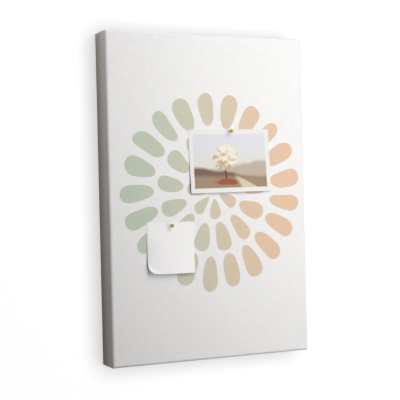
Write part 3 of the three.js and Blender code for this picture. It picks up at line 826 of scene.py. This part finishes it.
def strap_mesh(name, pivot, bottom):
    bm = bmesh.new()
    rows = []
    for y, z, half in strap_path(pivot, bottom):
        places = [pivot.x + half * (2 * i / STRAP_COLUMNS - 1) for i in range(STRAP_COLUMNS + 1)]
        rows.append([bm.verts.new((x, y, z)) for x in places])
    skin(bm, rows[::-1], closed=False)
    return smooth_mesh(name, bm, [zinc], closed=False)


def ring_line():
    """The ring's middle line in X and Z from its pivot, from one butted end to the other."""
    wide, tight = RING_HALF_WIDTH, RING_CORNER
    foot = [(RING_BUTT_GAP / 2, 0.0), (RING_FOOT, 0.0)]
    for angle in sweep(90, RING_CORNER_STEPS):
        foot.append((wide - tight + tight * math.sin(angle), tight - tight * math.cos(angle)))
    arch = [(wide * math.cos(a), RING_ARCH_START + wide * math.sin(a)) for a in sweep(180, RING_ARCH_STEPS)]
    return foot + arch + [(-x, z) for x, z in reversed(foot)]


def ring_mesh(name, pivot):
    bm = bmesh.new()
    line = ring_line()
    rows = []
    for i, (x, z) in enumerate(line):
        before = line[max(i - 1, 0)]
        after = line[min(i + 1, len(line) - 1)]
        reach = RING_WIRE_RADIUS / math.dist(before, after)
        side = Vector(((before[1] - after[1]) * reach, 0, (after[0] - before[0]) * reach))
        deep = Vector((0, RING_WIRE_RADIUS, 0))
        middle = pivot + Vector((x, 0, z))
        angles = sweep(360, RING_SIDES)[:-1]
        rows.append([bm.verts.new(middle + side * math.cos(a) + deep * math.sin(a)) for a in angles])
    skin(bm, rows)
    bm.faces.new(rows[0])
    bm.faces.new(rows[-1])
    return smooth_mesh(name, bm, [zinc])


joints = {joint["name"]: joint for joint in frame["joints"]}
for hand in ("left", "right"):
    pivot = Vector(joints[f"{hand}_ring_swing"]["pos_m"])
    strap_name = f"hanger_strap_{hand}"
    strap = new_piece(f"strap_{hand}", strap_mesh(f"strap_{hand}", pivot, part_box(strap_name)[0].z))
    modified(strap, "SOLIDIFY", thickness=STRAP_THICKNESS, offset=0)
    bevel_limit = math.radians(STRAP_BEVEL_LIMIT)
    modified(strap, "BEVEL", width=STRAP_EDGE_BEVEL, segments=2, angle_limit=bevel_limit)
    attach(strap, "board")
    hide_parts(strap_name)
    ring = new_piece(f"ring_{hand}", ring_mesh(f"ring_{hand}", pivot))
    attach(ring, f"{hand}_ring")
    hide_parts(f"hanger_ring_{hand}")

screw_nodes = nodes_named("hanger_screw_")
screw_places = []
for number, name in enumerate(screw_nodes):
    low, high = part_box(name)
    seat = ((low.x + high.x) / 2, high.y - SCREW_HEAD_HEIGHT, (low.z + high.z) / 2)
    screw_places.append((seat, math.radians(SCREW_FIRST_TURN + SCREW_NEXT_TURN * number)))
screws = copies("hanger_screws", screw_piece(), screw_places, zinc)
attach(screws, "board")
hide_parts(*screw_nodes)


# Wall pads: soft black rubber discs with eased rims, stuck to the bare wood near each corner.
# They keep the board parallel to the wall and stop it from sliding.
PAD_RIM_ROUND = 0.0012
PAD_RIM_STEPS = 5
RUBBER_BLACK = srgb(46, 46, 47)
RUBBER_DUST = srgb(92, 91, 90)

rubber, tree, shader = new_material("black_rubber", {"Roughness": 0.8})
where = object_place(tree)
dust = grouped(tree, flecks, Vector=where, Scale=500, Share=0.3)["Mask"]
dusty = layered(tree, RUBBER_BLACK, (RUBBER_DUST, dust, 0.5))
finish(tree, shader, dusty, noise_value(tree, where, 900), strength=0.3, relief=0.0002)

pad_nodes = nodes_named("wall_pad_")
pad_places = []
for name in pad_nodes:
    low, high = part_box(name)
    pad_places.append((((low.x + high.x) / 2, 0, (low.z + high.z) / 2), 0.0))
low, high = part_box(pad_nodes[0])
pad_radius = (high.x - low.x) / 2
pad_profile = [(0, low.y), (pad_radius, low.y)]
for angle in sweep(90, PAD_RIM_STEPS):
    rim_radius = pad_radius - PAD_RIM_ROUND * (1 - math.cos(angle))
    pad_profile.append((rim_radius, high.y - PAD_RIM_ROUND * (1 - math.sin(angle))))
pad_profile.append((0, high.y))
pads = copies("wall_pads", new_piece("pad", turned_mesh("pad", pad_profile, [rubber])), pad_places, rubber)
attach(pads, "board")
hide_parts(*pad_nodes)


# Photograph print: stiff satin paper with a white border, hung on its pin so that its lower edge leans off
# the board. The picture is a plain misty landscape: sky, brown ridges, a sandy path and one tree in blossom.
PAPER_THICKNESS = 0.0003
PAPER_GAP = 0.0003
PAPER_NUDGE = 1e-5
NEEDLE_HOLE_RADIUS = 0.0008
NEEDLE_HOLE_REACH = 0.005
NEEDLE_HOLE_SIDES = 16
PRINT_SIZE = (0.166, 0.117)
PRINT_GRID = (48, 34)
PRINT_PIN_DROP = 0.0035
PRINT_TILT = 0.8
PRINT_LIFT = 0.006
PRINT_BOW = -0.002
PICTURE_HALF_WIDTH = 0.075
PICTURE_HALF_HEIGHT = 0.050
PAPER_WHITE = srgb(236, 235, 232)
PICTURE_SKY = srgb(222, 221, 230)
PICTURE_MIST = srgb(222, 222, 216)
PICTURE_FAR = srgb(188, 174, 156)
PICTURE_RIDGE = srgb(112, 84, 66)
PICTURE_GROUND = srgb(156, 132, 104)
PICTURE_PATH = srgb(214, 198, 172)
PICTURE_BARK = srgb(84, 62, 48)
PICTURE_HEATHER = srgb(150, 74, 36)
PICTURE_BLOSSOM = srgb(242, 234, 218)
PICTURE_BLOSSOM_SHADE = srgb(190, 166, 134)
FAR_HILL = {"Level": -0.2, "Slope": 0.26, "Roll": 0.5, "Along": 3.1, "Blur": 0.1}
DARK_RIDGE = {"Level": -0.46, "Slope": -0.2, "Roll": 0.3, "Along": 7.7, "Blur": 0.08}
GROUND = {"Level": -0.58, "Slope": -0.03, "Roll": 0.12, "Along": 1.3, "Blur": 0.12}
TRUNK = {"centre": (-0.14, -0.42, 0), "size": (0.035, 0.42, 1)}
TREE_CROWN = {"centre": (-0.13, 0.13, 0), "size": (0.34, 0.5, 1)}
HEATHER = {"centre": (-0.12, -0.78, 0), "size": (0.34, 0.13, 1)}
PATH_MIDDLE = 0.3
PATH_BEND = 0.22
PATH_BEND_RATE = 4.2
PATH_WIDENING = -0.42
PATH_END_WIDTH = -0.2
PATH_BLUR = 0.06

fibres, given, result = shader_group("paper_fibres", ["Scale"], ["Shade", "Height"])
mottle = noise_value(fibres, given["Vector"], given["Scale"], detail=4)
fibres.links.new(ranged(fibres, mottle, 0.965, 1.0), result["Shade"])
fibres.links.new(mottle, result["Height"])

ridges, given, result = shader_group("soft_ridge", list(GROUND), ["Mask"])
axes = axes_of(ridges, given["Vector"])
along = add_node(ridges, "ShaderNodeCombineXYZ", {"X": axes["X"], "Y": given["Along"]})[0]
rolling = calc(ridges, "SUBTRACT", noise_value(ridges, along, 1.6), 0.5)
crest = calc(ridges, "MULTIPLY_ADD", axes["X"], given["Slope"], given["Level"])
crest = calc(ridges, "MULTIPLY_ADD", rolling, given["Roll"], crest)
below = calc(ridges, "DIVIDE", calc(ridges, "SUBTRACT", crest, axes["Y"]), given["Blur"])
ridges.links.new(faded(ridges, below, -1.0, 1.0), result["Mask"])


def shaded_paper(tree, colour, vector, scale):
    group = grouped(tree, fibres, Vector=vector, Scale=scale)
    return mixed(tree, 1.0, colour, group["Shade"], "MULTIPLY"), group["Height"]


def reach_from(tree, vector, centre, size, wander=0.0):
    eased = vector_calc(tree, "DIVIDE", vector_calc(tree, "SUBTRACT", vector, centre), size)
    return calc(tree, "ADD", vector_calc(tree, "LENGTH", eased), wander)


satin, tree, shader = new_material("satin_print", {"Roughness": 0.48, "Specular IOR Level": 0.3})
paper = uv_place(tree, "paper")
picture = scaled(tree, paper, (1 / PICTURE_HALF_WIDTH, 1 / PICTURE_HALF_HEIGHT, 1))
axes = axes_of(tree, picture)
clouds = noise_value(tree, scaled(tree, picture, (0.9, 5.0, 1)), 1.0, detail=3)
far_hill = grouped(tree, ridges, Vector=picture, **FAR_HILL)["Mask"]
dark_ridge = grouped(tree, ridges, Vector=picture, **DARK_RIDGE)["Mask"]
ground = grouped(tree, ridges, Vector=picture, **GROUND)["Mask"]
bend = calc(tree, "SINE", calc(tree, "MULTIPLY", axes["Y"], PATH_BEND_RATE))
path_middle = calc(tree, "MULTIPLY_ADD", bend, PATH_BEND, PATH_MIDDLE)
from_path = calc(tree, "ABSOLUTE", calc(tree, "SUBTRACT", axes["X"], path_middle))
path_width = calc(tree, "MULTIPLY_ADD", axes["Y"], PATH_WIDENING, PATH_END_WIDTH)
path = faded(tree, calc(tree, "SUBTRACT", path_width, from_path), -PATH_BLUR, PATH_BLUR)
leaves = noise_value(tree, picture, 6.0, detail=4)
wander = calc(tree, "MULTIPLY_ADD", leaves, 1.2, -0.6)
crown_light = calc(tree, "MULTIPLY_ADD", calc(tree, "ADD", axes["X"], axes["Y"]), 0.22, leaves)
blossom = mixed(tree, faded(tree, crown_light, 0.32, 0.6), PICTURE_BLOSSOM_SHADE, PICTURE_BLOSSOM)
landscape = layered(
    tree,
    PICTURE_SKY,
    (PICTURE_MIST, faded(tree, axes["Y"], 0.8, -0.1)),
    (PICTURE_MIST, faded(tree, clouds, 0.45, 0.75)),
    (PICTURE_FAR, far_hill),
    (PICTURE_RIDGE, dark_ridge),
    (PICTURE_GROUND, ground),
    (PICTURE_PATH, path, ground),
    (PICTURE_BARK, faded(tree, reach_from(tree, picture, **TRUNK), 1.1, 0.7)),
    (blossom, faded(tree, reach_from(tree, picture, **TREE_CROWN, wander=wander), 1.0, 0.88)),
    (PICTURE_HEATHER, faded(tree, reach_from(tree, picture, **HEATHER, wander=wander), 1.05, 0.75)),
)
inside = [faded(tree, calc(tree, "ABSOLUTE", axes[axis]), 1.004, 0.996) for axis in ("X", "Y")]
printed_side = add_node(tree, "ShaderNodeAttribute", attribute_name="printed_side")["Fac"]
paper_colour, fibre_height = shaded_paper(tree, PAPER_WHITE, paper, 900)
print_colour = layered(tree, paper_colour, (landscape, calc(tree, "MULTIPLY", *inside), printed_side))
finish(tree, shader, print_colour, fibre_height, strength=0.08, relief=0.0001)


def rim_of(rows):
    left = [row[0] for row in rows[1:-1]]
    right = [row[-1] for row in rows[1:-1]]
    return rows[0] + right + rows[-1][::-1] + left[::-1]


def paper_mesh(name, size, grid, bend, material):
    """A bent sheet with its printed front, its back and its cut edges; bend places a point of the back."""

    def bend_front(x, z):
        along_x = bend(x + PAPER_NUDGE, z) - bend(x - PAPER_NUDGE, z)
        along_z = bend(x, z + PAPER_NUDGE) - bend(x, z - PAPER_NUDGE)
        return bend(x, z) + PAPER_THICKNESS * along_x.cross(along_z).normalized()

    bm = bmesh.new()
    flat = {}
    back = sheet_rows(bm, flat, size, grid, bend)
    front = sheet_rows(bm, flat, size, grid, bend_front)
    skin(bm, front, closed=False)
    skin(bm, list(zip(*back)), closed=False)
    skin(bm, [rim_of(back), rim_of(front)])
    lay_out(bm, "paper", flat)
    front_points = {point for row in front for point in row}
    printed_faces = [float(front_points.issuperset(face.verts)) for face in bm.faces]
    mesh = smooth_mesh(name, bm, [material], sharp_degrees=50)
    side = mesh.attributes.new("printed_side", "FLOAT", "FACE")
    side.data.foreach_set("value", printed_faces)
    return mesh


def stand_off(x, z, size, drop, lift, bow):
    width, height = size
    below = max(0.0, (height / 2 - drop - z) / (height - drop))
    return (lift + bow * (2 * x / width) ** 2) * below**2


def needle_hole(pin):
    radius, reach = NEEDLE_HOLE_RADIUS, NEEDLE_HOLE_REACH
    profile = [(0, -reach), (radius, -reach), (radius, reach), (0, reach)]
    mesh = turned_mesh("needle_hole", profile, [], NEEDLE_HOLE_SIDES)
    mesh.transform(Matrix.Translation(pin))
    return new_piece("needle_hole", mesh)


def hung_paper(name, joint, size, grid, drop, tilt, bend, material):
    """A paper with a needle hole, hung so that its middle is straight below its pin once it is tilted."""
    pin = Vector(joints[joint]["pos_m"])
    pin.y = board_low.y
    turn = math.radians(tilt)
    below = size[1] / 2 - drop
    from_pin = Matrix.Translation((-below * math.tan(turn), 0, -below))
    onto_board = Matrix.Translation((pin.x, pin.y - PAPER_GAP, pin.z))
    mesh = paper_mesh(name, size, grid, bend, material)
    mesh.transform(onto_board @ Matrix.Rotation(-turn, 4, "Y") @ from_pin)
    piece = new_piece(name, mesh)
    cut_away(piece, needle_hole(pin))
    return piece, pin


def print_bend(x, z):
    return Vector((x, -stand_off(x, z, PRINT_SIZE, PRINT_PIN_DROP, PRINT_LIFT, PRINT_BOW), z))


photo_print, print_pin = hung_paper(
    "photo_paper", "photo_turn", PRINT_SIZE, PRINT_GRID, PRINT_PIN_DROP, PRINT_TILT, print_bend, satin
)
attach(photo_print, "photo")
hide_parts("photo_print")


# Note: one white sheet from a memo block, hung on its pin, with its lower left corner rolled forward.
# Thin soft paper, blank on both sides, that bellies out below the pin and bends back along its left edge.
NOTE_WIDTH = 0.092
NOTE_HEIGHT = 0.0935
NOTE_SIZE = (NOTE_WIDTH, NOTE_HEIGHT)
NOTE_GRID = (60, 60)
NOTE_PIN_DROP = 0.0068
NOTE_TILT = -0.9
NOTE_LIFT = 0.008
NOTE_BOW = -0.0035
NOTE_CURL_REACH = 0.017
NOTE_CURL_RADIUS = 0.012
NOTE_CURL_ANGLE = 52
NOTE_BELLY = 0.003
NOTE_BELLY_BEND = 0.028
NOTE_BELLY_START = 0.45
NOTE_WHITE = srgb(248, 248, 248)

memo, tree, shader = new_material("memo_paper", {"Roughness": 0.72})
paper_colour, fibre_height = shaded_paper(tree, NOTE_WHITE, uv_place(tree, "paper"), 700)
finish(tree, shader, paper_colour, fibre_height, strength=0.15, relief=0.0001)


def note_belly(x, z):
    from_left = x + NOTE_WIDTH / 2
    bent = 1 - min(1.0, from_left / NOTE_BELLY_BEND)
    onward = max(0.0, from_left - NOTE_BELLY_BEND) / (NOTE_WIDTH - NOTE_BELLY_BEND)
    below = (NOTE_HEIGHT / 2 - NOTE_PIN_DROP - z) / (NOTE_HEIGHT - NOTE_PIN_DROP)
    return NOTE_BELLY * (1 - bent**2 - onward**2) * smooth_step(below / NOTE_BELLY_START)


def note_bend(x, z):
    level = math.cos(math.radians(NOTE_CURL_ANGLE))
    down = math.sin(math.radians(NOTE_CURL_ANGLE))
    curl_start = NOTE_WIDTH / 2 * level + NOTE_HEIGHT / 2 * down - NOTE_CURL_REACH
    past = max(0.0, -x * level - z * down - curl_start)
    angle = past / NOTE_CURL_RADIUS
    drawn_in = past - NOTE_CURL_RADIUS * math.sin(angle)
    raised = NOTE_CURL_RADIUS * (1 - math.cos(angle))
    off = stand_off(x, z, NOTE_SIZE, NOTE_PIN_DROP, NOTE_LIFT, NOTE_BOW) + note_belly(x, z)
    return Vector((x + drawn_in * level, -off - raised, z + drawn_in * down))


note_sheet, note_pin = hung_paper(
    "note_paper", "note_turn", NOTE_SIZE, NOTE_GRID, NOTE_PIN_DROP, NOTE_TILT, note_bend, memo
)
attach(note_sheet, "note")
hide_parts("note_sheet")


# Pins: ball heads turned in one with a tapered neck and a collar, brass on the ball and bare steel behind.
# Each has a drawn steel needle pressed into it, that goes through the paper and the canvas into the cork.
PIN_BALL_RADIUS = 0.0035
PIN_REACH = 0.009
PIN_BALL_SWEEP = 150
PIN_BALL_STEPS = 24
PIN_NECK = ((0.001, 0.0024), (0.00115, 0.00128))
PIN_COLLAR_RADIUS = 0.0016
PIN_COLLAR_THICKNESS = 0.0008
PIN_COLLAR_ROUND = 0.0002
NEEDLE_RADIUS = 0.0005
NEEDLE_FIT = 0.0001
NEEDLE_POINT = 0.0025
NEEDLE_TIP = 0.001
NEEDLE_TIP_RADIUS = 0.000225
NEEDLE_SIDES = 20
BRASS_BRIGHT = srgb(158, 144, 66)
BRASS_DULL = srgb(108, 96, 44)
STEEL_BRIGHT = srgb(226, 228, 230)
STEEL_DULL = srgb(186, 189, 192)

brass = metal("polished_brass", BRASS_BRIGHT, BRASS_DULL, scale=500, smooth=0.1, scuffed=0.26)
needle_steel = metal("drawn_steel", STEEL_BRIGHT, STEEL_DULL, scale=700, smooth=0.15, scuffed=0.3)


def pin_profile(seat, bore_end):
    """A head's (radius, depth) points, from the front of its ball to the bore that takes the needle."""
    centre = seat - PIN_REACH
    bore = NEEDLE_RADIUS + NEEDLE_FIT
    collar = seat - PIN_COLLAR_THICKNESS
    points = [(0, centre - PIN_BALL_RADIUS)]
    for angle in sweep(PIN_BALL_SWEEP, PIN_BALL_STEPS)[1:]:
        points.append((PIN_BALL_RADIUS * math.sin(angle), centre - PIN_BALL_RADIUS * math.cos(angle)))
    points += [(radius, seat - rise) for radius, rise in PIN_NECK]
    return points + [
        (PIN_COLLAR_RADIUS - PIN_COLLAR_ROUND, collar),
        (PIN_COLLAR_RADIUS, collar + PIN_COLLAR_ROUND),
        (PIN_COLLAR_RADIUS, seat - PIN_COLLAR_ROUND),
        (PIN_COLLAR_RADIUS - PIN_COLLAR_ROUND, seat),
        (bore, seat),
        (bore, bore_end),
        (0, bore_end),
    ]


def needle_profile(start, end):
    return [
        (0, start),
        (NEEDLE_RADIUS, start),
        (NEEDLE_RADIUS, end - NEEDLE_POINT),
        (NEEDLE_TIP_RADIUS, end - NEEDLE_TIP),
        (0, end),
    ]


for name, pin in (("photo", print_pin), ("note", note_pin)):
    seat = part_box(f"{name}_pin_head")[1].y
    needle_low, needle_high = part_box(f"{name}_pin_needle")
    head_profile = pin_profile(seat, needle_low.y - NEEDLE_FIT)
    head_mesh = turned_mesh(f"{name}_pin_ball", head_profile, [brass, needle_steel])
    ball_back = seat - PIN_REACH - PIN_BALL_RADIUS * math.cos(math.radians(PIN_BALL_SWEEP))
    for face in head_mesh.polygons:
        face.material_index = 1 if face.center.y > ball_back else 0
    point_profile = needle_profile(needle_low.y, needle_high.y)
    needle_mesh = turned_mesh(f"{name}_pin_point", point_profile, [needle_steel], NEEDLE_SIDES)
    for mesh, node, slot in ((head_mesh, "head", "brass"), (needle_mesh, "needle", "needle_steel")):
        mesh.transform(Matrix.Translation((pin.x, 0, pin.z)))
        piece = new_piece(mesh.name, mesh)
        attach(piece, f"{name}_pin")
        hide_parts(f"{name}_pin_{node}")
    cut_away(canvas_cover, needle_hole(pin))


# Studio: a white wall that keeps the board's soft shadow, with its glow turned down close to the board as
# painted contact shade, a floor far below and soft lamps. The wall shows only from the front, so that the
# back of the board can be seen and lit from behind.
# It stands close to the hem, so that this light doesn't come out round the edges.
WALL_GAP = 0.0003
STAGE_SIZE = 12.0
FLOOR_LEVEL = -1.1
STAGE_GLOW = 0.92
STAGE_SHADE = srgb(222, 221, 219)
STAGE_SHADE_SEEN = srgb(104, 104, 103)
WALL_BOUNCE = 0.5
CONTACT_REACH = 0.04
CONTACT_SHADE_DEPTH = 0.6
CONTACT_SAMPLES = 32
AMBIENT = 0.085
AMBIENT_COLOUR = srgb(255, 240, 226)
WHITE = (1, 1, 1, 1)
LAMPS = {
    "high_key": {"place": (0.2, -1.0, 0.6), "aim": (0.3, 0, 0.3), "size": 0.9, "watts": 9.2},
    "low_fill": {"place": (0.4, -0.8, -0.2), "aim": (0.3, 0, 0.3), "size": 0.9, "watts": 4.2},
    "side_lamp": {"place": (-0.6, 0.03, 1.1), "aim": (-0.2, 0, 0.05), "size": 0.25, "watts": 3.3},
    "rear_lamp": {"place": (0.5, 2.3, 1.0), "aim": (0, 0, 0), "size": 1.2, "watts": 55},
}


def seen_rays(tree):
    rays = add_node(tree, "ShaderNodeLightPath")
    mirrored = calc(tree, "ADD", rays["Is Glossy Ray"], rays["Is Transmission Ray"])
    return rays, calc(tree, "ADD", rays["Is Camera Ray"], mirrored)


def stage_plane(name, corners, bounce):
    """A white plane that shows from its front only, and sends on a share of the light that falls on it."""
    material, tree, shader = new_material(name + "_white")
    tree.nodes.remove(shader)
    rays, seen = seen_rays(tree)
    front = calc(tree, "SUBTRACT", 1.0, add_node(tree, "ShaderNodeNewGeometry")["Backfacing"])
    solid = calc(tree, "MULTIPLY", front, calc(tree, "MULTIPLY_ADD", rays["Is Diffuse Ray"], bounce, seen))
    shade = mixed(tree, seen, STAGE_SHADE, STAGE_SHADE_SEEN)
    pale = add_node(tree, "ShaderNodeBsdfDiffuse", {"Color": shade})[0]
    # Painted contact shade: the wall's glow is turned down where the board stands close to it.
    contact = {"Distance": CONTACT_REACH}
    openness = add_node(tree, "ShaderNodeAmbientOcclusion", contact, samples=CONTACT_SAMPLES)["AO"]
    strength = ranged(tree, openness, STAGE_GLOW * (1 - CONTACT_SHADE_DEPTH), STAGE_GLOW)
    glow = add_node(tree, "ShaderNodeEmission", {"Strength": calc(tree, "MULTIPLY", seen, strength)})[0]
    lit = add_node(tree, "ShaderNodeAddShader", {0: pale, 1: glow})[0]
    clear = add_node(tree, "ShaderNodeBsdfTransparent")[0]
    shown = add_node(tree, "ShaderNodeMixShader", {0: solid, 1: clear, 2: lit})[0]
    tree.links.new(shown, tree.nodes["Material Output"].inputs["Surface"])
    mesh = bpy.data.meshes.new(name)
    mesh.from_pydata(corners, [], [(0, 1, 2, 3)])
    mesh.materials.append(material)
    new_piece(name, mesh)


far = STAGE_SIZE / 2
wall_y = board_high.y + WALL_GAP
stage_corners = ((-far, -far), (far, -far), (far, far), (-far, far))
stage_plane("wall", [(x, wall_y, z) for x, z in stage_corners], WALL_BOUNCE)
stage_plane("floor", [(x, y, FLOOR_LEVEL) for x, y in stage_corners], 0.0)

for name, lamp in LAMPS.items():
    light = bpy.data.lights.new(name, "AREA")
    light.energy = lamp["watts"]
    light.size = lamp["size"]
    placed_lamp = new_piece(name, light)
    placed_lamp.location = lamp["place"]
    aim = Vector(lamp["aim"]) - Vector(lamp["place"])
    placed_lamp.rotation_euler = aim.to_track_quat("-Z", "Y").to_euler()
    placed_lamp.visible_camera = False

world = bpy.data.worlds.new("studio")
bpy.context.scene.world = world
world.use_nodes = True
tree = world.node_tree
background = tree.nodes["Background"]
_, seen = seen_rays(tree)
tree.links.new(mixed(tree, seen, AMBIENT_COLOUR, WHITE), background.inputs["Color"])
tree.links.new(ranged(tree, seen, AMBIENT, 1.0), background.inputs["Strength"])
bpy.context.scene.view_settings.view_transform = "Standard"


# Camera: left of the board and level with its middle, as in the photograph.
# Its long lens is given for a sensor 36 mm wide, and it leans a little, as the photograph does.
CAMERA_PLACE = (-0.7954, -1.7204, -0.0057)
CAMERA_TURN = 24.92
CAMERA_ROLL = 1.38
CAMERA_LENS = 89.76
CAMERA_SENSOR = 36
lens = bpy.data.cameras.new("camera")
lens.lens = CAMERA_LENS
lens.sensor_width = CAMERA_SENSOR
camera = new_piece("camera", lens)
camera.location = CAMERA_PLACE
camera.rotation_euler = (math.radians(90), math.radians(CAMERA_ROLL), math.radians(-CAMERA_TURN))
bpy.context.scene.camera = camera
